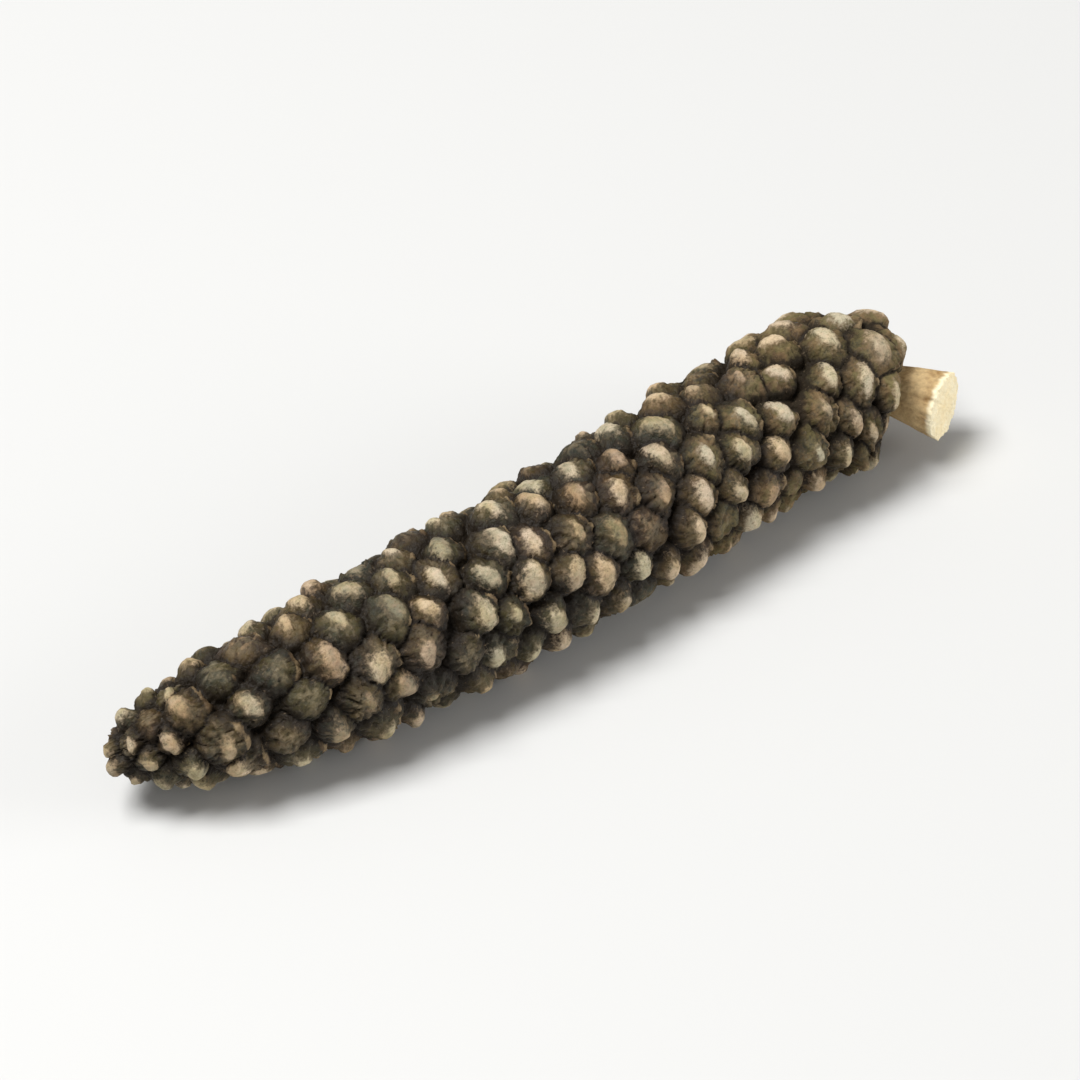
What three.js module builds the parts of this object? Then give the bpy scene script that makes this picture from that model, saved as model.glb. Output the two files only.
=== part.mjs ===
// A dried long pepper, lying on its side: one spike of small berries grown together on a core, and the broken
// end of its stalk.  Millimetres, +Z up.  The thin end points to -X and the stalk to +X, and the origin is on
// the surface that it lies on, under the middle of its box.

import * as THREE from 'three';
import { mergeVertices } from 'three/addons/utils/BufferGeometryUtils.js';

// The core's route from the thin end to the broken end of the stalk: two places over the surface and a height.
const CORE_ROUTE = [
  [-12.3, 0.1, 1.66],
  [-9.4, -0.4, 1.95],
  [-6.6, -0.4, 2.08],
  [-3.6, -0.15, 2.14],
  [-0.6, 0.2, 2.17],
  [4.4, 1.15, 2.18],
  [8.2, 1.9, 2.15],
  [10.3, 1.7, 2.0],
  [11.9, 0.6, 1.45],
];

// The skin between the berries: distance along the core and radius, from the thin end to the thick end's rim,
// which is the mouth of the socket that the stalk grows from.
const SKIN_OUTLINE = [
  [0, 0],
  [0.12, 0.38],
  [0.55, 0.72],
  [1.5, 1.03],
  [3.2, 1.33],
  [6, 1.63],
  [9, 1.75],
  [12.5, 1.76],
  [17, 1.77],
  [21, 1.75],
  [22.6, 1.5],
  [23.2, 0.92],
];
const SOCKET_DEPTH = 0.8;

// One berry: its share of the skin, the dome that it makes there, and the turn from one berry to the next,
// which packs them in rows of 4, 7 and 11 round the core.
const BERRY_SHARE = 1;
const BERRY_RADIUS = 0.72;
const BERRY_HEIGHT = 0.5;
const GOLDEN_RATIO = (1 + Math.sqrt(5)) / 2;
const BERRY_TURN = (2 * Math.PI) / (2 + GOLDEN_RATIO);

// The berries nearest the tip stayed small: how big the last one is, as a share of full size, and how far from
// the tip they are full grown.
const TIP_GROWTH = 0.6;
const FULL_GROWN_AT = 3;

// How far a berry strays from its place, in millimetres, and how much its radius and height vary, as shares of
// its own.
const BERRY_STRAY = 0.16;
const RADIUS_SPREAD = 0.08;
const HEIGHT_SPREAD = 0.15;

// The stalk starts in its socket and widens to where it broke off, at a slant: it is shortest on its upper
// front side.
const STALK_GAP = 0.3;
const STALK_ROOT_RADIUS = 0.5;
const STALK_BREAK_RADIUS = 0.88;
const STALK_RIDGES = 7;
const STALK_RIDGE_HEIGHT = 0.05;
const STALK_BREAK_SLANT = 0.4;

const SPIKE_STEPS_AROUND = 60;
const SPIKE_STEPS_ALONG = 82;
const STALK_STEPS_AROUND = 42;
const STALK_STEPS_ALONG = 5;

const core = new THREE.CatmullRomCurve3(
  CORE_ROUTE.map((place) => new THREE.Vector3(...place)),
  false,
  'catmullrom',
);
const coreLength = core.getLength();
const UP = new THREE.Vector3(0, 0, 1);

// A number between -1 and 1 that is always the same for the same berry and the same use.
function chance(berry, use) {
  const long = Math.sin(berry * 12.9898 + use * 78.233) * 43758.5453;
  return 2 * (long - Math.floor(long)) - 1;
}

// Each berry's place on a straight spike, which stands along +Y from its thin end, with its dome's size.
function growBerries(skin) {
  const berries = [];
  let roomSoFar = 0;
  for (let step = 1; step < skin.length; step += 1) {
    const [start, end] = [skin[step - 1], skin[step]];
    const growth = TIP_GROWTH + (1 - TIP_GROWTH) * THREE.MathUtils.smoothstep(start.y, 0, FULL_GROWN_AT);
    const band = Math.PI * (start.x + end.x) * start.distanceTo(end);
    const room = band / (BERRY_SHARE * growth * growth);
    while (roomSoFar + room > berries.length + 0.5) {
      const number = berries.length;
      const stray = BERRY_STRAY * growth;
      const place = start.clone().lerp(end, (number + 0.5 - roomSoFar) / room);
      const turn = number * BERRY_TURN + (stray * chance(number, 1)) / Math.max(place.x, BERRY_RADIUS);
      berries.push({
        centre: new THREE.Vector3(
          place.x * Math.sin(turn),
          place.y + stray * chance(number, 2),
          place.x * Math.cos(turn),
        ),
        radius: BERRY_RADIUS * growth * (1 + RADIUS_SPREAD * chance(number, 3)),
        height: BERRY_HEIGHT * growth * (1 + HEIGHT_SPREAD * chance(number, 4)),
      });
    }
    roomSoFar += room;
  }
  return berries;
}

// How high the tallest dome stands over a place on the skin.
function domeHeight(place, berries) {
  let height = 0;
  for (const berry of berries) {
    const reach = place.distanceTo(berry.centre) / berry.radius;
    if (reach < 1) {
      height = Math.max(height, berry.height * Math.sqrt(1 - reach * reach));
    }
  }
  return height;
}

// Bends a shape that stands along +Y so that it follows the core, and presses flat what would sink below the
// surface that the pepper lies on.
function bendAlongCore(geometry) {
  const places = geometry.getAttribute('position');
  const place = new THREE.Vector3();
  for (let index = 0; index < places.count; index += 1) {
    place.fromBufferAttribute(places, index);
    const share = THREE.MathUtils.clamp(place.y / coreLength, 0, 1);
    const ahead = core.getTangentAt(share);
    const side = ahead.clone().cross(UP).normalize();
    const above = side.clone().cross(ahead);
    const bent = core.getPointAt(share)
      .addScaledVector(ahead, place.y - share * coreLength)
      .addScaledVector(side, place.x)
      .addScaledVector(above, place.z);
    places.setXYZ(index, bent.x, bent.y, Math.max(bent.z, 0));
  }
}

// One closed body with no doubled corners, from a shape that was turned on a lathe.
function closeBody(turned) {
  turned.deleteAttribute('normal');
  turned.deleteAttribute('uv');
  const body = mergeVertices(turned);
  body.computeVertexNormals();
  return body;
}

function spikeGeometry() {
  const outline = new THREE.SplineCurve(SKIN_OUTLINE.map(([along, radius]) => new THREE.Vector2(radius, along)));
  const skin = outline.getSpacedPoints(SPIKE_STEPS_ALONG);
  const rim = skin[skin.length - 1];
  const socket = [new THREE.Vector2(rim.x, rim.y - SOCKET_DEPTH), new THREE.Vector2(0, rim.y - SOCKET_DEPTH)];
  const turned = new THREE.LatheGeometry([...skin, ...socket], SPIKE_STEPS_AROUND);
  const berries = growBerries(skin);
  const places = turned.getAttribute('position');
  const normals = turned.getAttribute('normal');
  const place = new THREE.Vector3();
  const outward = new THREE.Vector3();
  for (let index = 0; index < places.count; index += 1) {
    const row = index % (skin.length + socket.length);
    place.fromBufferAttribute(places, index);
    outward.fromBufferAttribute(normals, index);
    if (row === 0) {
      outward.set(0, -1, 0);
    }
    if (row === skin.length - 1) {
      outward.set(0, 1, 0);
    }
    if (row < skin.length) {
      place.addScaledVector(outward, domeHeight(place, berries));
      places.setXYZ(index, place.x, place.y, place.z);
    }
  }
  bendAlongCore(turned);
  return closeBody(turned);
}

function stalkGeometry() {
  const rimAlong = SKIN_OUTLINE[SKIN_OUTLINE.length - 1][0];
  const root = new THREE.Vector2(STALK_ROOT_RADIUS, rimAlong - SOCKET_DEPTH + STALK_GAP);
  const broken = new THREE.Vector2(STALK_BREAK_RADIUS, coreLength);
  const side = new THREE.LineCurve(root, broken).getSpacedPoints(STALK_STEPS_ALONG);
  const outline = [new THREE.Vector2(0, root.y), ...side, new THREE.Vector2(0, broken.y)];
  const turned = new THREE.LatheGeometry(outline, STALK_STEPS_AROUND);
  const places = turned.getAttribute('position');
  for (let index = 0; index < places.count; index += 1) {
    const [x, y, z] = [places.getX(index), places.getY(index), places.getZ(index)];
    const ridge = 1 + (STALK_RIDGE_HEIGHT / STALK_BREAK_RADIUS) * Math.cos(STALK_RIDGES * Math.atan2(x, z));
    const alongShare = (y - root.y) / (broken.y - root.y);
    const slant = (STALK_BREAK_SLANT * alongShare * (x + z)) / Math.hypot(1, 1) / STALK_BREAK_RADIUS;
    places.setXYZ(index, x * ridge, y - slant, z * ridge);
  }
  bendAlongCore(turned);
  return closeBody(turned);
}

const fruitSpike = new THREE.Mesh(
  spikeGeometry(),
  new THREE.MeshStandardMaterial({ color: 0x4a4036, roughness: 0.8, metalness: 0 }),
);
fruitSpike.name = 'fruit_spike';

const stalkStub = new THREE.Mesh(
  stalkGeometry(),
  new THREE.MeshStandardMaterial({ color: 0xd8c69c, roughness: 0.85, metalness: 0 }),
);
stalkStub.name = 'stalk_stub';

const longPepper = new THREE.Group();
longPepper.add(fruitSpike, stalkStub);

const middle = new THREE.Box3().setFromObject(longPepper, true).getCenter(new THREE.Vector3());
for (const piece of longPepper.children) {
  piece.geometry.translate(-middle.x, -middle.y, 0);
}

export default longPepper;
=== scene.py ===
import math

import bmesh
import bpy
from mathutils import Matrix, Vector, noise
from mathutils.kdtree import KDTree


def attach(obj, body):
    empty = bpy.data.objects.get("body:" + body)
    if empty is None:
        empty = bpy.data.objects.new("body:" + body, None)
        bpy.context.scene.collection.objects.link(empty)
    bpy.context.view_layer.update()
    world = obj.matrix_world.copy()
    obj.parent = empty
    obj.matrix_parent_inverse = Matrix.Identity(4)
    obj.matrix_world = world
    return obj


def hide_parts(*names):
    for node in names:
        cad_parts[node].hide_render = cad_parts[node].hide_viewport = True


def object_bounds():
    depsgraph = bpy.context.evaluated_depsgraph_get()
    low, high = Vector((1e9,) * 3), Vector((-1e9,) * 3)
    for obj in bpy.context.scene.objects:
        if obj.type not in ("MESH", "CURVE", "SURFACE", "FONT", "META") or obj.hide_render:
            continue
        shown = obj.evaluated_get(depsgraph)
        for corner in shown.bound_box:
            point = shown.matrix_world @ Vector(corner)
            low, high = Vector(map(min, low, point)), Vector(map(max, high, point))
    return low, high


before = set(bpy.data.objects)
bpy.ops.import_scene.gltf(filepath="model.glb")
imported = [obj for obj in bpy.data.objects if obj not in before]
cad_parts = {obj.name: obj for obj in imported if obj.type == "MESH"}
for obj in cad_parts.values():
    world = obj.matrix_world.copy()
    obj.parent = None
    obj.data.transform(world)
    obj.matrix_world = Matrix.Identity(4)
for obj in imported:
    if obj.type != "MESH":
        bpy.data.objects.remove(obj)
cad_low, cad_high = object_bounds()

# The spike: small berries that grew together on one core, in spiral rows, and dried hard.  Each is a round,
# shrunken bump of near-black skin with a grain of pale tissue on top, where its flower's tip dried on, and
# deep creases part it from its neighbours.  It grew in one piece, so it is one closed skin.

MM = 0.001

# The core's route from the thin end to the broken end of the stalk, in millimetres.
CORE_ROUTE = [
    (-12.3, 0.1, 1.66), (-9.4, -0.4, 1.95), (-6.6, -0.4, 2.08), (-3.6, -0.15, 2.14), (-0.6, 0.2, 2.17),
    (4.4, 1.15, 2.18), (8.2, 1.9, 2.15), (10.3, 1.7, 2.0), (11.9, 0.6, 1.45),
]

# Where the middle of the pepper's box lies on that route's map, which is where the row's frame has its
# origin.
BOX_MIDDLE = (0.025, 0.834)

# The skin between the berries, as radius and distance along the core, from the thin end to the rim of the
# socket that the stalk grows from, and the socket's wall and floor.
SKIN_OUTLINE = [
    (0, 0), (0.38, 0.12), (0.72, 0.55), (1.03, 1.5), (1.33, 3.2), (1.63, 6), (1.75, 9), (1.76, 12.5),
    (1.77, 17), (1.75, 21), (1.5, 22.6), (0.92, 23.2),
]
SOCKET_OUTLINE = [(0.92, 23.2), (0.78, 23.3), (0.66, 23.2), (0.64, 22.8), (0.4, 22.5), (0, 22.5)]

SPIKE_STEPS_AROUND = 250
SKIN_STEPS = 376
SOCKET_STEPS = 18

# The noise that makes each pepper its own, always drawn the same.
NOISE_SEED = 5
noise.seed_set(NOISE_SEED)

# Keeps a divisor off nothing, and a place off the end of a list.
TINY = 0.001

# How many straight pieces stand for the smooth run between two points.
PIECES_PER_SPAN = 60


def smooth_run(points, steps):
    """Points at equal steps along a smooth (Catmull-Rom) run through the given ones, and its length."""
    points = [Vector(point) for point in points]
    fine = []
    for number in range(len(points) - 1):
        before = points[max(number - 1, 0)]
        start, end = points[number], points[number + 1]
        after = points[min(number + 2, len(points) - 1)]
        for part in range(PIECES_PER_SPAN):
            share = part / PIECES_PER_SPAN
            fine.append(
                start + (end - before) * share / 2
                + (2 * before - 5 * start + 4 * end - after) * share ** 2 / 2
                + (3 * start - before - 3 * end + after) * share ** 3 / 2
            )
    fine.append(points[-1])
    lengths = [0.0]
    for start, end in zip(fine, fine[1:]):
        lengths.append(lengths[-1] + (end - start).length)
    run, place = [], 0
    for step in range(steps + 1):
        wanted = lengths[-1] * step / steps
        while place < len(fine) - 2 and lengths[place + 1] < wanted:
            place += 1
        span = lengths[place + 1] - lengths[place]
        run.append(fine[place].lerp(fine[place + 1], (wanted - lengths[place]) / span))
    return run, lengths[-1]


# The core's direction at a place is taken from two steps behind it to three ahead.
CORE_STEPS = 600
STEPS_BEHIND = 2
STEPS_AHEAD = 3
core, core_length = smooth_run(CORE_ROUTE, CORE_STEPS)


def bend_along_core(place):
    """Where a place on a straight pepper, which stands along +Y, comes to lie on the bent one.  What would
    sink below the surface that the pepper lies on is pressed flat."""
    station = min(max(place.y / core_length * CORE_STEPS, 0), CORE_STEPS - TINY)
    number = int(station)
    here = core[number].lerp(core[number + 1], station - number)
    behind = core[max(number - STEPS_BEHIND, 0)]
    ahead = (core[min(number + STEPS_AHEAD, CORE_STEPS)] - behind).normalized()
    side = ahead.cross(Vector((0, 0, 1))).normalized()
    above = side.cross(ahead)
    past_the_end = place.y - station / CORE_STEPS * core_length
    bent = here + ahead * past_the_end + side * place.x + above * place.z
    bent.z = max(bent.z, 0)
    return bent


def ease(value, low, high):
    """0 below low, 1 above high and smooth between."""
    share = min(max((value - low) / (high - low), 0), 1)
    return share * share * (3 - 2 * share)


# What the numbers drawn for a berry decide, each by its own draw.
(
    STRAY_AROUND, STRAY_ALONG, SIZE, HEIGHT, LEAN, GRAIN_STRAY_AROUND, GRAIN_STRAY_ALONG, GRAIN_SIZE, TONE,
    SMALL_GRAIN, GRAIN_TONE, HOLLOW, NO_GRAIN, HUE, SCALE,
) = range(1, 16)

# Uneven factors, which land the draws of neighbouring berries far apart.
BERRY_FACTOR = 12.9898
DRAW_FACTOR = 78.233
SCATTER_FACTOR = 43758.5453


def chance(number, draw):
    """A number between -1 and 1 that is always the same for the same berry and the same draw."""
    long = math.sin(number * BERRY_FACTOR + draw * DRAW_FACTOR) * SCATTER_FACTOR
    return 2 * (long - math.floor(long)) - 1


def chance_share(number, draw):
    """The same between 0 and 1."""
    return 0.5 + 0.5 * chance(number, draw)


# One berry: its share of the skin in square millimetres, the turn from one berry to the next, which packs
# them in rows of 4, 7 and 11, the bump that it makes, and how far it strays from its place.
BERRY_SHARE = 1.0
GOLDEN_RATIO = (1 + math.sqrt(5)) / 2
BERRY_TURN = 2 * math.pi / (2 + GOLDEN_RATIO)
BERRY_STRAY = 0.16
BERRY_RADIUS = 0.64
BERRY_HEIGHT = 0.5

# The berries nearest the tip stayed small: how big the last one is, as a share of full size, and how far
# from the tip they are full grown.
TIP_GROWTH = 0.6
FULL_GROWN_AT = 3

# How much the berries' radius and height differ, as shares of their own, and which draws leave one with a
# hollow top, from a slight hollow to a whole one.
RADIUS_SPREAD = 0.16
HEIGHT_SPREAD = 0.15
HOLLOW_DRAWS = (0.45, 0.9)

# The pale grain on a berry: half its length and half its width, how far it stands up, how far its long way
# is turned from straight across the spike, in radians, how far it strays, and how much its size differs.
GRAIN_LENGTH = 0.36
GRAIN_WIDTH = 0.22
GRAIN_HEIGHT = 0.09
GRAIN_LEAN = 0.2
GRAIN_LEAN_SPREAD = 0.7
GRAIN_STRAYS_AROUND = 0.1
GRAIN_STRAYS_ALONG = 0.12
GRAIN_SPREAD = 0.22

# Some grains stayed small and some fell off: the draws below which they did, and the small ones' size.
SMALL_GRAIN_DRAW = -0.6
SMALL_GRAIN_SIZE = 0.65
NO_GRAIN_DRAW = -0.8

# The draws between which a berry's dry scale goes from fallen off to whole.
SCALE_DRAWS = (-0.8, -0.2)

# How far apart two berries read the noise that folds them, so that no two are folded alike.
FOLDS_APART = (3.7, 1.3)


class Berry:
    """Where one berry sits on the straight spike, and how it differs from the others."""

    def __init__(self, number, growth, radius, along, turn, slope):
        self.outward = Vector((slope.y * math.sin(turn), -slope.x, slope.y * math.cos(turn)))
        self.around = around = Vector((math.cos(turn), 0, -math.sin(turn)))
        self.to_stalk = lengthwise = self.outward.cross(around)
        lean = GRAIN_LEAN + GRAIN_LEAN_SPREAD * chance(number, LEAN)
        self.long_way = around * math.cos(lean) + lengthwise * math.sin(lean)
        self.short_way = lengthwise * math.cos(lean) - around * math.sin(lean)
        self.centre = Vector((radius * math.sin(turn), along, radius * math.cos(turn)))
        self.radius = BERRY_RADIUS * growth * (1 + RADIUS_SPREAD * chance(number, SIZE))
        self.height = BERRY_HEIGHT * growth * (1 + HEIGHT_SPREAD * chance(number, HEIGHT))
        self.hollow = ease(chance(number, HOLLOW), *HOLLOW_DRAWS)
        self.grain_centre = (
            self.centre + around * GRAIN_STRAYS_AROUND * chance(number, GRAIN_STRAY_AROUND)
            + lengthwise * GRAIN_STRAYS_ALONG * chance(number, GRAIN_STRAY_ALONG)
        )
        shrunk = SMALL_GRAIN_SIZE if chance(number, SMALL_GRAIN) < SMALL_GRAIN_DRAW else 1
        self.grain_size = growth * (1 + GRAIN_SPREAD * chance(number, GRAIN_SIZE)) * shrunk
        self.grain_share = 0 if chance(number, NO_GRAIN) < NO_GRAIN_DRAW else 1
        self.tone = chance_share(number, TONE)
        self.grain_tone = chance_share(number, GRAIN_TONE) * (2 * growth - 1)
        self.hue = chance_share(number, HUE)
        self.scale_share = ease(chance(number, SCALE), *SCALE_DRAWS)
        self.seed = Vector((number * FOLDS_APART[0], number * FOLDS_APART[1], 0))


def grow_berries(skin):
    """The berries of a straight spike, each in the middle of an even share of the skin."""
    berries = []
    room_so_far = 0.0
    for start, end in zip(skin, skin[1:]):
        growth = TIP_GROWTH + (1 - TIP_GROWTH) * ease(start.y, 0, FULL_GROWN_AT)
        room = math.pi * (start.x + end.x) * (end - start).length / (BERRY_SHARE * growth ** 2)
        while room_so_far + room > len(berries) + 0.5:
            number = len(berries)
            stray = BERRY_STRAY * growth
            place = start.lerp(end, (number + 0.5 - room_so_far) / room)
            turn = number * BERRY_TURN + stray * chance(number, STRAY_AROUND) / max(place.x, BERRY_RADIUS)
            along = place.y + stray * chance(number, STRAY_ALONG)
            berries.append(Berry(number, growth, place.x, along, turn, (end - start).normalized()))
        room_so_far += room
    return berries


skin, _ = smooth_run(SKIN_OUTLINE, SKIN_STEPS)
socket, _ = smooth_run(SOCKET_OUTLINE, SOCKET_STEPS)
outline = skin + socket[1:]
berries = grow_berries(skin)
berry_tree = KDTree(len(berries))
for number, berry in enumerate(berries):
    berry_tree.insert(berry.centre, number)
berry_tree.balance()

# The outline of a berry isn't round.  Slow and quick noise push its edge about, each by so many millimetres
# and with so many waves to the millimetre, and it is longer than it is wide.
SLOW_STRAY = 0.12
SLOW_WAVES = 1.7
QUICK_STRAY = 0.045
QUICK_WAVES = 4.9
BERRY_LONG = 1.07
BERRY_SHORT = 0.95

# The dome: the power that makes it a little blunter than a ball, and the slight slope that gives the skin
# between the domes to the nearest berry.  Only so many of the nearest berries can own a place.
DOME_POWER = 2.1
OWNER_SLOPE = 0.02
NEAREST_BERRIES = 5

# The groove where two berries meet, and how far the skin sinks all over.  Towards the socket's rim it sinks
# less and less, and at the rim it stands up a little.
GROOVE_DEPTH = 0.06
GROOVE_WIDTH = 0.1
BERRY_SINK = 0.13
RIM_RISE = 1.2
RIM_RISE_STRETCH = (20.5, 22.6)

# The edge of a grain: how far it strays, and where it starts to fade and is gone, as shares of the way from
# the grain's middle to its edge.  The grain is a low dome of its own, in a shallow moat.
GRAIN_EDGE_STRAY = 0.06
GRAIN_EDGE_WAVES = 6.1
GRAIN_FADE = (0.35, 1.5)
GRAIN_DOME_REACH = 1.15
MOAT_DEPTH = 0.03
MOAT_REACH = 1.35
MOAT_WIDTH = 0.25

# The dry scale that each flower grew behind: a thin half moon in the groove on its berry's stalk side, which
# is torn in places.  Its ends are given as the cosines of how far round from the stalk's direction they are.
SCALE_REACH = 0.51
SCALE_WIDTH = 0.075
SCALE_HEIGHT = 0.1
SCALE_ENDS = (0.35, 0.8)
SCALE_TEAR_WAVES = 2.7
SCALE_TEARS = (-0.3, 0.2)

# How much of each berry is folded by drying: the spokes that run down from its top, the net of fine creases,
# the slow swell of the skin, which is mostly a shrinking, the hollow top and the fine roughness.
SPOKE_DEPTH = 0.14
SPOKES_AROUND = 2.4
SPOKES_DOWN = 0.5
SPOKE_WIDTH = 0.3
SPOKE_START = (0.9, 2.4)
CREASE_DEPTH = 0.085
CREASE_WIDTH = 0.12
CREASE_WAVES = 4.2
SWELL = 0.08
SWELL_WAVES = 2.3
SWELL_SHRINKING = 0.3
HOLLOW_DEPTH = 0.16
HOLLOW_SIDE = (0.8, 2.0)
ROUGHNESS = 0.016
ROUGHNESS_WAVES = 9

# How much a groove and a spoke take off nearness to a berry's top, which deepens the painted crease shade.
GROOVE_OFF_CREST = 0.6
SPOKE_OFF_CREST = 0.2


def fold(place, width):
    """1 on the thin lines along which the noise is nothing, and 0 away from them."""
    return 1 - min(abs(noise.noise(place)) / width, 1)


def berry_skin(place):
    """The berry that a place on the skin belongs to, its bump's height there, how near that is to the
    bump's top, and how much of its pale grain and of its scale is there."""
    strayed = (
        place + SLOW_STRAY * noise.noise_vector(place * SLOW_WAVES)
        + QUICK_STRAY * noise.noise_vector(place * QUICK_WAVES)
    )
    lift, next_lift, dome, owner = -1, -1, 0, None
    for _, number, _ in berry_tree.find_n(strayed, NEAREST_BERRIES):
        berry = berries[number]
        off = strayed - berry.centre
        reach = math.sqrt(
            (off.dot(berry.long_way) / BERRY_LONG) ** 2 + (off.dot(berry.short_way) / BERRY_SHORT) ** 2
            + off.dot(berry.outward) ** 2
        ) / berry.radius
        this_dome = math.sqrt(max(1 - reach ** DOME_POWER, 0))
        this_lift = berry.height * this_dome + OWNER_SLOPE * (1 - reach)
        if this_lift > lift:
            lift, next_lift, dome, owner = this_lift, lift, this_dome, berry
        else:
            next_lift = max(next_lift, this_lift)
    groove = 1 - ease(lift - next_lift, 0, GROOVE_WIDTH)

    off = place + GRAIN_EDGE_STRAY * noise.noise_vector(place * GRAIN_EDGE_WAVES) - owner.grain_centre
    reach = math.hypot(off.dot(owner.long_way) / GRAIN_LENGTH, off.dot(owner.short_way) / GRAIN_WIDTH)
    reach /= owner.grain_size
    grain = (1 - ease(reach, *GRAIN_FADE)) * owner.grain_share

    off = strayed - owner.centre
    from_top = math.hypot(off.dot(owner.around), off.dot(owner.to_stalk)) + TINY
    scale = math.exp(-((from_top - SCALE_REACH) / SCALE_WIDTH) ** 2) * owner.scale_share
    half_moon = ease(off.dot(owner.to_stalk) / from_top, *SCALE_ENDS)
    scale *= half_moon * ease(noise.noise(place * SCALE_TEAR_WAVES), *SCALE_TEARS)

    down = (place - owner.centre).normalized()
    spokes = fold(down * SPOKES_AROUND + place * SPOKES_DOWN + owner.seed, SPOKE_WIDTH)
    creases = fold(place * CREASE_WAVES, CREASE_WIDTH)
    sink = BERRY_SINK * (1 - RIM_RISE * ease(place.y, *RIM_RISE_STRETCH))
    height = max(lift, 0) - sink - GROOVE_DEPTH * groove * groove
    height -= SPOKE_DEPTH * spokes * ease(reach, *SPOKE_START) * dome
    height -= CREASE_DEPTH * creases * (1 - grain)
    height += SWELL * (noise.noise(place * SWELL_WAVES) - SWELL_SHRINKING)
    height -= owner.hollow * HOLLOW_DEPTH * (1 - ease(reach, *HOLLOW_SIDE))
    height += owner.grain_share * GRAIN_HEIGHT * math.sqrt(max(1 - (reach / GRAIN_DOME_REACH) ** 2, 0))
    height -= owner.grain_share * MOAT_DEPTH * math.exp(-((reach - MOAT_REACH) / MOAT_WIDTH) ** 2)
    height += SCALE_HEIGHT * scale + ROUGHNESS * noise.noise(place * ROUGHNESS_WAVES)
    crest = dome * (1 - GROOVE_OFF_CREST * groove) * (1 - SPOKE_OFF_CREST * spokes * (1 - grain))
    return owner, height, crest, grain, scale


def ring_and_turn(vert, rings):
    """Which ring of a ball a corner is on, counted from the ball's foot, and how far round it is."""
    ring = round(math.acos(max(-1, min(1, -vert.co.z))) / math.pi * rings)
    return ring, math.atan2(vert.co.y, vert.co.x)


# The berries and their grains run out over the last rings before the socket.  They lose some of their height
# there, and most of it in the first third of the socket.  The skin there counts as at least so near to a
# berry's top, which keeps the painted crease shade off it.
RIM_RINGS = 8
RIM_FLATTENING = 0.2
SOCKET_FLATTENING = 0.8
THIRDS_OF_SOCKET = 3
RIM_CREST = 0.62

# Pale dust on the skin: all of it at the socket, little at the thin end, and less on a stretch between.  The
# stretches are in millimetres along the core.
DUSTIEST = 0.8
DUST_GROWS = (12, 19)
LEAST_DUST = 0.03
CLEANING = 0.3
CLEAN_STARTS = (7, 9)
CLEAN_ENDS = (11, 13.5)

spike_form = bmesh.new()
rings = len(outline) - 1
bmesh.ops.create_uvsphere(spike_form, u_segments=SPIKE_STEPS_AROUND, v_segments=rings, radius=1)
layers = spike_form.verts.layers.float
grain_layer, crest_layer, tone_layer = layers.new("grain"), layers.new("crest"), layers.new("tone")
grain_tone_layer, hue_layer, dust_layer = layers.new("grain_tone"), layers.new("hue"), layers.new("dust")
scale_layer = layers.new("scale")
for vert in spike_form.verts:
    ring, turn = ring_and_turn(vert, rings)
    here = outline[ring]
    run = (outline[min(ring + 1, rings)] - outline[max(ring - 1, 0)]).normalized()
    if ring == 0:
        run = Vector((1, 0))
    place = Vector((here.x * math.sin(turn), here.y, here.x * math.cos(turn)))
    outward = Vector((run.y * math.sin(turn), -run.x, run.y * math.cos(turn)))
    owner, height, crest, grain, scale = berry_skin(place)
    in_socket = max(ring - SKIN_STEPS, 0) / SOCKET_STEPS
    near_stalk = ease(ring, SKIN_STEPS - RIM_RINGS, SKIN_STEPS)
    height *= 1 - RIM_FLATTENING * near_stalk - SOCKET_FLATTENING * min(THIRDS_OF_SOCKET * in_socket, 1)
    vert[grain_layer] = grain * (1 - near_stalk)
    vert[crest_layer] = max(crest, RIM_CREST * near_stalk)
    vert[scale_layer] = scale
    vert[tone_layer] = owner.tone
    vert[grain_tone_layer] = owner.grain_tone
    vert[hue_layer] = owner.hue
    clean_stretch = ease(here.y, *CLEAN_STARTS) - ease(here.y, *CLEAN_ENDS)
    dust = DUSTIEST * ease(here.y, *DUST_GROWS) - CLEANING * clean_stretch + LEAST_DUST
    vert[dust_layer] = max(near_stalk, dust)
    vert.co = bend_along_core(place + outward * height)


def set_in_frame(form, name):
    """A named piece from a form on the route's map, in millimetres, set in the row's frame, in metres."""
    bmesh.ops.recalc_face_normals(form, faces=form.faces)
    for face in form.faces:
        face.smooth = True
    for vert in form.verts:
        vert.co = (vert.co - Vector((*BOX_MIDDLE, 0))) * MM
    mesh = bpy.data.meshes.new(name)
    form.to_mesh(mesh)
    form.free()
    piece = bpy.data.objects.new(name, mesh)
    bpy.context.collection.objects.link(piece)
    return piece


spike = set_in_frame(spike_form, "pepper_spike")


# The value that noise in a material is mostly near.
NOISE_MIDDLE = 0.5


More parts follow.
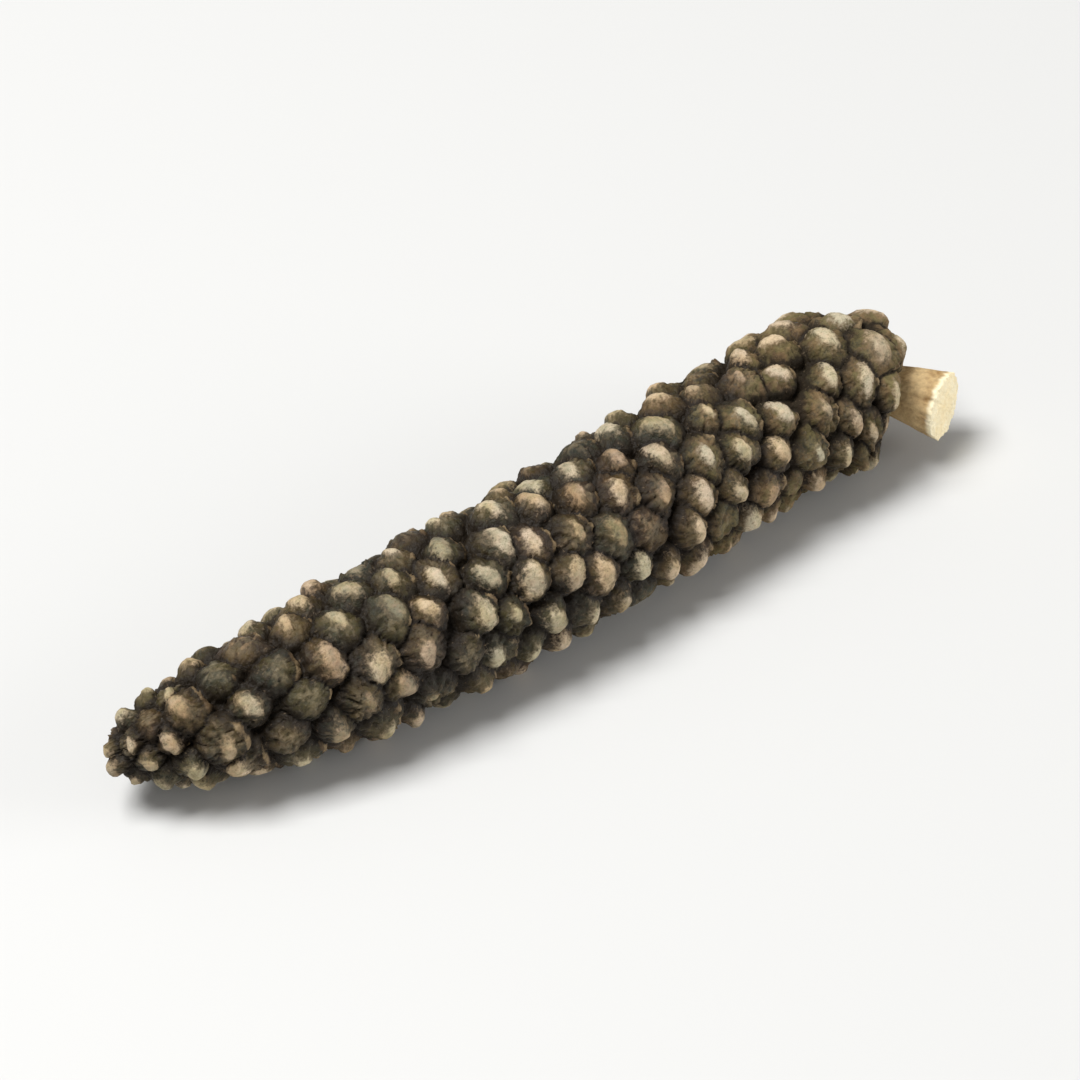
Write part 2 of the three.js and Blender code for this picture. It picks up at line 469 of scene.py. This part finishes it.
class Wire:
    """A socket of the material in hand.  Arithmetic with it adds Math nodes."""

    tree = None

    def __init__(self, socket):
        self.socket = socket

    @classmethod
    def node(cls, kind, settings=None, values=None, output=0):
        made = cls.tree.nodes.new(kind)
        for name, value in (settings or {}).items():
            if name == "stops":
                ramp = made.color_ramp
                while len(ramp.elements) < len(value):
                    ramp.elements.new(0.5)
                for element, (place, tint) in zip(ramp.elements, value):
                    element.position = place
                    element.color = (*tint, 1)
            else:
                setattr(made, name, value)
        for name, value in (values or {}).items():
            if isinstance(value, Wire):
                cls.tree.links.new(value.socket, made.inputs[name])
            else:
                made.inputs[name].default_value = value
        return cls(made.outputs[output])

    def maths(self, operation, first, second):
        return Wire.node("ShaderNodeMath", {"operation": operation}, {0: first, 1: second})

    def __add__(self, other):
        return self.maths("ADD", self, other)

    def __radd__(self, other):
        return self.maths("ADD", other, self)

    def __sub__(self, other):
        return self.maths("SUBTRACT", self, other)

    def __rsub__(self, other):
        return self.maths("SUBTRACT", other, self)

    def __mul__(self, other):
        return self.maths("MULTIPLY", self, other)

    def __rmul__(self, other):
        return self.maths("MULTIPLY", other, self)

    def clamp(self):
        return Wire.node("ShaderNodeClamp", {}, {0: self})

    def sway(self, strength):
        """Noise as a push up or down from nothing, of the given strength."""
        return (self - NOISE_MIDDLE) * strength

    def spread(self, low, high):
        """0 below low, 1 above high and smooth between."""
        return Wire.node(
            "ShaderNodeMapRange", {"interpolation_type": "SMOOTHSTEP"},
            {"Value": self, "From Min": low, "From Max": high, "To Min": 0.0, "To Max": 1.0},
        )

    def ramp(self, stops):
        """The colours of a list of places and colours, with this socket as the place."""
        return Wire.node("ShaderNodeValToRGB", {"stops": stops}, {0: self})

    @classmethod
    def blend(cls, share, low, high):
        """A blend from one colour to another, by the share of the second."""
        low, high = [tint if isinstance(tint, Wire) else (*tint, 1) for tint in (low, high)]
        return cls.node("ShaderNodeMix", {"data_type": "RGBA"}, {0: share, 6: low, 7: high}, output=2)

    def pick(self, low, high):
        """A blend from one colour to another, with this socket as the share of the second."""
        return Wire.blend(self, low, high)

    def feed(self, shader, name):
        """Links this socket to the shader's own."""
        Wire.tree.links.new(self.socket, shader.inputs[name])


def new_material(name):
    material = bpy.data.materials.new(name)
    material.use_nodes = True
    Wire.tree = material.node_tree
    shader = material.node_tree.nodes["Principled BSDF"]
    return material, shader


def colour(red, green, blue):
    """A colour from its screen values of 0 to 255, as the light that it gives back."""
    parts = [part / 255 for part in (red, green, blue)]
    return tuple(part / 12.92 if part <= 0.04045 else ((part + 0.055) / 1.055) ** 2.4 for part in parts)


def lumps(coordinates, size, detail=3.0, roughness=0.55, kind="FBM"):
    """Noise whose lumps are about the given number of metres across."""
    values = {"Vector": coordinates, "Scale": 1 / size, "Detail": detail, "Roughness": roughness}
    return Wire.node("ShaderNodeTexNoise", {"noise_type": kind, "normalize": kind == "FBM"}, values)


def painted(name):
    """One of the values that the mesh carries at its corners."""
    return Wire.node("ShaderNodeAttribute", {"attribute_name": name}, output=2)


# How wide the lumps of each noise in the skin are, from patches of several berries down to specks.
PATCH_SIZE = 2.2 * MM
EARTH_SIZE = 0.9 * MM
MOTTLE_SIZE = 0.4 * MM
CRACK_SIZE = 0.2 * MM
BLOTCH_SIZE = 0.17 * MM
SPECK_SIZE = 0.07 * MM

# The skin: its own colours from dark to light, and those that it leans to in places.
SKIN_COLOURS = [
    (0.0, colour(27, 21, 12)), (0.35, colour(44, 37, 24)), (0.7, colour(68, 59, 40)),
    (1.0, colour(99, 88, 63)),
]
OLIVE_SKIN = colour(52, 57, 37)
RUSTY_SKIN = colour(92, 55, 34)
GREY_SKIN = colour(48, 51, 46)
GOLDEN_SKIN = colour(94, 79, 36)
EARTHY_SHARE = 0.35

# What lies on the skin or is worn into it, and the painted shade of the creases between berries.
WORN_SKIN = colour(140, 126, 98)
OLIVE_DUST = colour(130, 118, 76)
TAN_DUST = colour(150, 122, 86)
GREY_FLECK = colour(124, 120, 98)
TAN_FLECK = colour(146, 118, 86)
# Painted shade for the creases between berries.
CREASE_SHADE_COLOUR = colour(27, 18, 6)
DARK_SCALE = colour(92, 72, 48)
PALE_SCALE = colour(152, 130, 96)

# The grains: their own colours from dark to light, those that they lean to, and their pits and edges.
GRAIN_COLOURS = [
    (0.0, colour(102, 88, 66)), (0.35, colour(148, 132, 103)), (0.7, colour(184, 169, 138)),
    (1.0, colour(212, 199, 170)),
]
OLIVE_GRAIN = colour(154, 158, 122)
PINK_GRAIN = colour(216, 166, 134)
GREY_GRAIN = colour(154, 155, 152)
GOLDEN_GRAIN = colour(190, 166, 100)
RUSTY_GRAIN_SHARE = 0.3
EARTHY_GRAIN_SHARE = 0.15
GRAIN_PIT = colour(82, 64, 46)
GRAIN_RIM = colour(78, 58, 40)

# How much of what is under it each layer hides where it is whole.
MOTTLE_COVER = 0.85
WORN_COVER = 0.6
DUST_COVER = 0.6
FLECK_COVER = 0.7
# How much of the skin the painted crease shade hides.
CREASE_SHADE_COVER = 0.95
SCALE_COVER = 0.8
GRAIN_COVER = 0.96

SKIN_SHEEN = 0.28
SKIN_BUMP = 0.9
SKIN_BUMP_HEIGHT = 0.06 * MM


def dried_skin():
    """The skin of the berries, in layers from the bare skin outwards, and then their pale grains."""
    material, shader = new_material("dried_berry_skin")
    place = Wire.node("ShaderNodeTexCoord", output=3)
    grain, crest, tone = painted("grain"), painted("crest"), painted("tone")
    grain_tone, hue, dust, scale = painted("grain_tone"), painted("hue"), painted("dust"), painted("scale")
    patches = lumps(place, PATCH_SIZE, 3.0)
    earths = lumps(place, EARTH_SIZE, 2.0)
    mottle = lumps(place, MOTTLE_SIZE, 4.0)
    blotches = lumps(place, BLOTCH_SIZE, 3.0)
    specks = lumps(place, SPECK_SIZE, 3.0, 0.65)
    cracks = lumps(place, CRACK_SIZE, 4.0, 0.5, "RIDGED_MULTIFRACTAL")

    # The bare skin, lighter or darker on each berry, and leaning to rust or olive and to gold or grey.
    skin_tone = (tone * 0.5 + mottle * 1.1 + blotches * 0.5 + patches.sway(1.3) - 0.55).clamp()
    redness = (hue + blotches.sway(2.2)).clamp()
    goldness = (earths.sway(5.0) + specks.sway(1.5) + 0.5).clamp()
    body = skin_tone.ramp(SKIN_COLOURS)
    body = (mottle * MOTTLE_COVER).pick(body, redness.pick(OLIVE_SKIN, RUSTY_SKIN))
    body = Wire.blend(EARTHY_SHARE, body, goldness.pick(GREY_SKIN, GOLDEN_SKIN))

    # Worn tops, pale dust, and flecks of dry tissue.
    worn = ((crest.spread(0.7, 1.0) + blotches * 1.6 - 1.1) * (specks * 1.5 + 0.1)).clamp()
    body = (worn * WORN_COVER).pick(body, WORN_SKIN)
    dusty = (dust + patches.sway(2.4) + blotches.sway(1.2) + specks.sway(0.8)).spread(0.35, 1.05)
    body = (dusty * DUST_COVER).pick(body, mottle.spread(0.4, 0.6).pick(OLIVE_DUST, TAN_DUST))
    flecks = (blotches.sway(4.0) + mottle.sway(2.0) - 0.3).spread(0.0, 0.5)
    body = (flecks * FLECK_COVER).pick(body, hue.pick(GREY_FLECK, TAN_FLECK))

    # Painted shade in the creases between berries, and the dry scales that stand in them.
    crease_shade = (1 - crest + blotches.sway(0.7)).spread(0.06, 0.54)
    body = (crease_shade * CREASE_SHADE_COVER).pick(body, CREASE_SHADE_COLOUR)
    scaly = (scale + specks.sway(0.8)).spread(0.25, 0.7)
    body = (scaly * SCALE_COVER).pick(body, mottle.spread(0.35, 0.65).pick(DARK_SCALE, PALE_SCALE))

    # The pale grains, pitted, with a ragged edge and a dark rim.
    grain_light = grain_tone * 0.7 + mottle.sway(1.2) + blotches.sway(0.8) + patches.sway(2.0) + dust * 0.25
    grain_colour = (grain_light + 0.22).clamp().ramp(GRAIN_COLOURS)
    grain_colour = Wire.blend(RUSTY_GRAIN_SHARE, grain_colour, redness.pick(OLIVE_GRAIN, PINK_GRAIN))
    grain_colour = Wire.blend(EARTHY_GRAIN_SHARE, grain_colour, goldness.pick(GREY_GRAIN, GOLDEN_GRAIN))
    grain_colour = specks.sway(2.4).clamp().pick(grain_colour, GRAIN_PIT)
    ragged = (grain + blotches.sway(1.2) + specks.sway(1.4)).spread(0.2, 0.85)
    rim = (ragged * (1 - ragged) * 1.2).clamp()
    body = (ragged * GRAIN_COVER).pick(body, grain_colour)
    rim.pick(body, GRAIN_RIM).feed(shader, "Base Color")

    # Grains and dust are the dullest.
    (0.55 + ragged * 0.3 + dusty * 0.25 + blotches.sway(0.3)).clamp().feed(shader, "Roughness")
    relief = cracks * 0.6 + specks * 0.8 + blotches * 0.9
    bump = {"Strength": SKIN_BUMP, "Distance": SKIN_BUMP_HEIGHT, "Height": relief}
    Wire.node("ShaderNodeBump", {}, bump).feed(shader, "Normal")
    shader.inputs["Specular IOR Level"].default_value = SKIN_SHEEN
    return material


spike.data.materials.append(dried_skin())
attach(spike, "root")
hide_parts("fruit_spike")

# The stalk: what is left of the stem that the spike grew on, a dry cord of pale wood fibres that snapped off
# when the spike was picked.  It starts in the socket in the spike's thick end, and spreads towards its own
# end, which is a ragged, slanting break.

STALK_ROOT = 22.7
STALK_BREAK_RADIUS = 0.88
STALK_BREAK_SLANT = 0.4
STALK_STEPS_AROUND = 160
STALK_STEPS = 150
STALK_OUTLINE = [
    (0, STALK_ROOT), (0.44, STALK_ROOT), (0.52, 22.85), (0.59, 23.3), (0.74, core_length - 0.9),
    (0.87, core_length - 0.12), (0.84, core_length), (0.4, core_length), (0, core_length),
]

# The stalk's side, as shares of its radius: slow ridges, fibres, and furrows.  A bigger number round the
# stalk makes each of them narrower, and the fibres and furrows change along it too.
RIDGE_HEIGHT = 0.07
RIDGES_AROUND = 2.4
FIBRE_HEIGHT = 0.05
FIBRES_AROUND = 7
FIBRES_ALONG = 0.4
FURROW_DEPTH = 0.06
FURROWS_AROUND = 14

# The break, in millimetres: slow humps, notches between splinters, the splinters' ends, and how much
# shorter it all is than the core.
HUMP_HEIGHT = 0.04
HUMP_WAVES = 2.2
NOTCH_DEPTH = 0.08
NOTCH_WAVES = 6
SPLINTER_HEIGHT = 0.05
SPLINTER_WAVES = 14
BREAK_SHORTENING = 0.015

# How far from the break the brown rind ends and the bare wood is whole.
RIND_ENDS = 0.22
WOOD_IS_BARE = 0.04

stalk_outline, _ = smooth_run(STALK_OUTLINE, STALK_STEPS)
stalk_form = bmesh.new()
bmesh.ops.create_uvsphere(stalk_form, u_segments=STALK_STEPS_AROUND, v_segments=STALK_STEPS, radius=1)
rind_layer = stalk_form.verts.layers.float.new("rind")
for vert in stalk_form.verts:
    ring, turn = ring_and_turn(vert, STALK_STEPS)
    here = stalk_outline[ring]
    around = Vector((math.sin(turn), math.cos(turn), 0))
    fibre = noise.noise(around * FIBRES_AROUND + Vector((0, 0, here.y * FIBRES_ALONG)))
    furrow = abs(noise.noise(around * FURROWS_AROUND + Vector((0, 0, here.y))))
    slow = noise.noise(around * RIDGES_AROUND)
    ridge = RIDGE_HEIGHT * slow + FIBRE_HEIGHT * fibre - FURROW_DEPTH * furrow
    radius = here.x * (1 + ridge)
    to_break = ease(here.y, STALK_ROOT, core_length)
    cut = around * here.x
    hump = noise.noise(cut * HUMP_WAVES)
    notch = abs(noise.noise(cut * NOTCH_WAVES))
    tip = noise.noise(cut * SPLINTER_WAVES)
    splinter = HUMP_HEIGHT * hump - NOTCH_DEPTH * notch + SPLINTER_HEIGHT * tip - BREAK_SHORTENING
    slant = STALK_BREAK_SLANT * (around.x + around.y) / math.sqrt(2) * here.x / STALK_BREAK_RADIUS
    along = here.y + to_break ** 2 * (splinter - slant)
    vert[rind_layer] = 1 - ease(here.y, core_length - RIND_ENDS, core_length - WOOD_IS_BARE)
    vert.co = bend_along_core(Vector((radius * math.sin(turn), along, radius * math.cos(turn))))

stalk = set_in_frame(stalk_form, "pepper_stalk")

STALK_MOTTLE_SIZE = 0.6 * MM
FIBRE_SIZE = 0.11 * MM
CREAM_WOOD = colour(250, 228, 178)
WHITE_WOOD = colour(255, 248, 222)
TAN_RIND = colour(214, 182, 128)
BROWN_RIND = colour(132, 98, 58)
STALK_ROUGHNESS = 0.85
STALK_SHEEN = 0.25
STALK_BUMP = 0.7
STALK_BUMP_HEIGHT = 0.05 * MM


def stalk_wood():
    """Bare cream wood on the break, and mottled rind on the side."""
    material, shader = new_material("stalk_wood")
    place = Wire.node("ShaderNodeTexCoord", output=3)
    rind = painted("rind")
    mottle = lumps(place, STALK_MOTTLE_SIZE, 4.0)
    fibre = lumps(place, FIBRE_SIZE, 3.0)
    wood = (mottle * 1.4 + fibre * 0.5 - 0.5).clamp().pick(CREAM_WOOD, WHITE_WOOD)
    bark = (mottle + fibre - 0.5).clamp().pick(TAN_RIND, BROWN_RIND)
    (rind * (mottle * 0.6 + 0.6)).clamp().pick(wood, bark).feed(shader, "Base Color")
    bump = {"Strength": STALK_BUMP, "Distance": STALK_BUMP_HEIGHT, "Height": fibre}
    Wire.node("ShaderNodeBump", {}, bump).feed(shader, "Normal")
    shader.inputs["Roughness"].default_value = STALK_ROUGHNESS
    shader.inputs["Specular IOR Level"].default_value = STALK_SHEEN
    return material


stalk.data.materials.append(stalk_wood())
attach(stalk, "root")
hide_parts("stalk_stub")

# The studio: a plain pale table, a soft light above on the thin end's side, a weaker one low on the stalk's
# side, and a camera that looks down on the pepper.  All of it is in metres.

TABLE_SIDE = 3
TABLE_COLOUR = (0.66, 0.66, 0.65, 1)
TABLE_ROUGHNESS = 0.7

bpy.ops.mesh.primitive_plane_add(size=TABLE_SIDE)
table = bpy.context.object
table.name = "table"
table_paint, table_shader = new_material("table_paint")
table_shader.inputs["Base Color"].default_value = TABLE_COLOUR
table_shader.inputs["Roughness"].default_value = TABLE_ROUGHNESS
table.data.materials.append(table_paint)


def soft_light(name, side, place, watts):
    """A square light that faces the pepper."""
    lamp = bpy.data.lights.new(name, "AREA")
    lamp.size = side
    lamp.energy = watts
    light = bpy.data.objects.new(name, lamp)
    bpy.context.collection.objects.link(light)
    light.location = place
    light.rotation_mode = "QUATERNION"
    light.rotation_quaternion = (-Vector(place)).to_track_quat("-Z", "Y")


soft_light("key_light", side=0.12, place=(-0.1, 0.03, 0.25), watts=0.9)
soft_light("fill_light", side=0.2, place=(0.32, -0.2, 0.1), watts=0.7)

ROOM_COLOUR = (1.0, 0.99, 0.97, 1)
ROOM_LIGHT = 0.25
world = bpy.data.worlds.new("studio")
world.use_nodes = True
world.node_tree.nodes["Background"].inputs["Color"].default_value = ROOM_COLOUR
world.node_tree.nodes["Background"].inputs["Strength"].default_value = ROOM_LIGHT
bpy.context.scene.world = world
bpy.context.scene.view_settings.view_transform = "Standard"

# The camera's azimuth and elevation, its lens and sensor in millimetres, how wide a view it has of the
# pepper's middle, and how near it sees.
CAMERA_AZIMUTH = math.radians(-31)
CAMERA_ELEVATION = math.radians(42)
CAMERA_LENS = 200
SENSOR_WIDTH = 36
VIEW_WIDTH = 0.0265
NEAREST_SEEN = 0.01
back = Vector((
    math.sin(CAMERA_AZIMUTH) * math.cos(CAMERA_ELEVATION),
    -math.cos(CAMERA_AZIMUTH) * math.cos(CAMERA_ELEVATION),
    math.sin(CAMERA_ELEVATION),
))
camera = bpy.data.objects.new("camera", bpy.data.cameras.new("camera"))
bpy.context.collection.objects.link(camera)
camera.data.lens = CAMERA_LENS
camera.data.sensor_width = SENSOR_WIDTH
camera.data.clip_start = NEAREST_SEEN
middle = (cad_low + cad_high) / 2
camera.location = middle + back * (VIEW_WIDTH * CAMERA_LENS / SENSOR_WIDTH)
camera.rotation_mode = "QUATERNION"
camera.rotation_quaternion = (-back).to_track_quat("-Z", "Y")
bpy.context.scene.camera = camera
